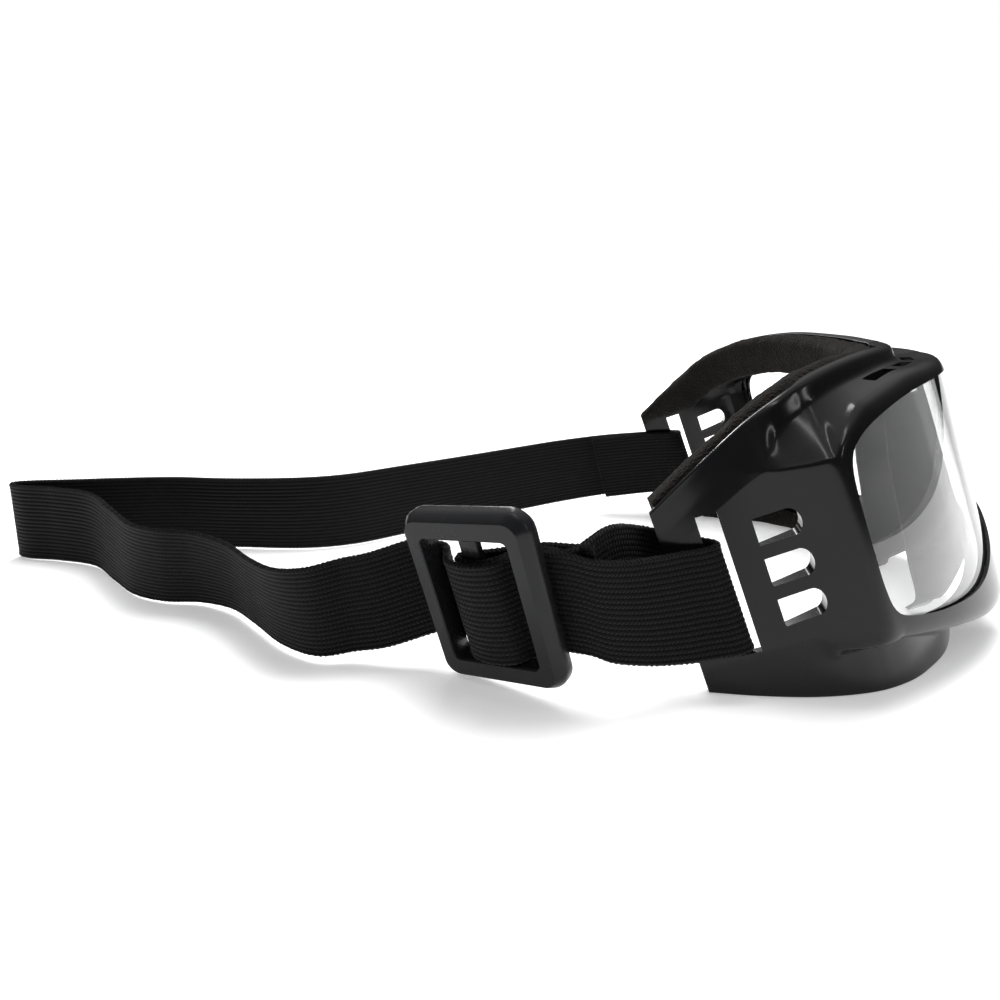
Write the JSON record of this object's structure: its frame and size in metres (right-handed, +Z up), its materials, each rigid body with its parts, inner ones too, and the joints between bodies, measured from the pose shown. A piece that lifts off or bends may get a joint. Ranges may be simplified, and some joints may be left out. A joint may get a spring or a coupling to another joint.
{
  "type": "sports protective goggles",
  "caption": "wrap-round protective goggles with one-piece clear lens, vented moulded frame, foam face seal and an elastic head strap with a sliding tri-glide adjuster",
  "frame": {"origin": "centre of the footprint of the goggles and their strap, on the surface they stand on", "axes": "+Z up, -Y the way the lens faces, +X towards the wearer's left; the frame leans back 20.5 degrees as it rests on its lower skirt"},
  "size_m": [0.1804, 0.3015, 0.0738],
  "materials": {
    "frame_plastic": "glossy black injection moulding",
    "lens_clear": "clear polycarbonate",
    "foam": "open-cell black foam",
    "elastic": "knitted black elastic webbing",
    "slider_plastic": "satin black moulding"
  },
  "bodies": {
    "goggles": {"frame": "frame_plastic", "lens": "lens_clear", "brow_foam": "foam", "cheek_foam_near": "foam", "cheek_foam_far": "foam", "strap_back": "elastic", "strap_front": "elastic"},
    "slider_unit": {"slider": "slider_plastic", "strap_weave": "elastic", "strap_loop": "elastic"}
  },
  "joints": [
    {"name": "slider_slide", "type": "slide", "parent": "goggles", "child": "slider_unit", "axis": [0, 1, 0], "range_m": [-0.008, 0.012], "deforming": ["strap_front", "strap_back"]}
  ]
}
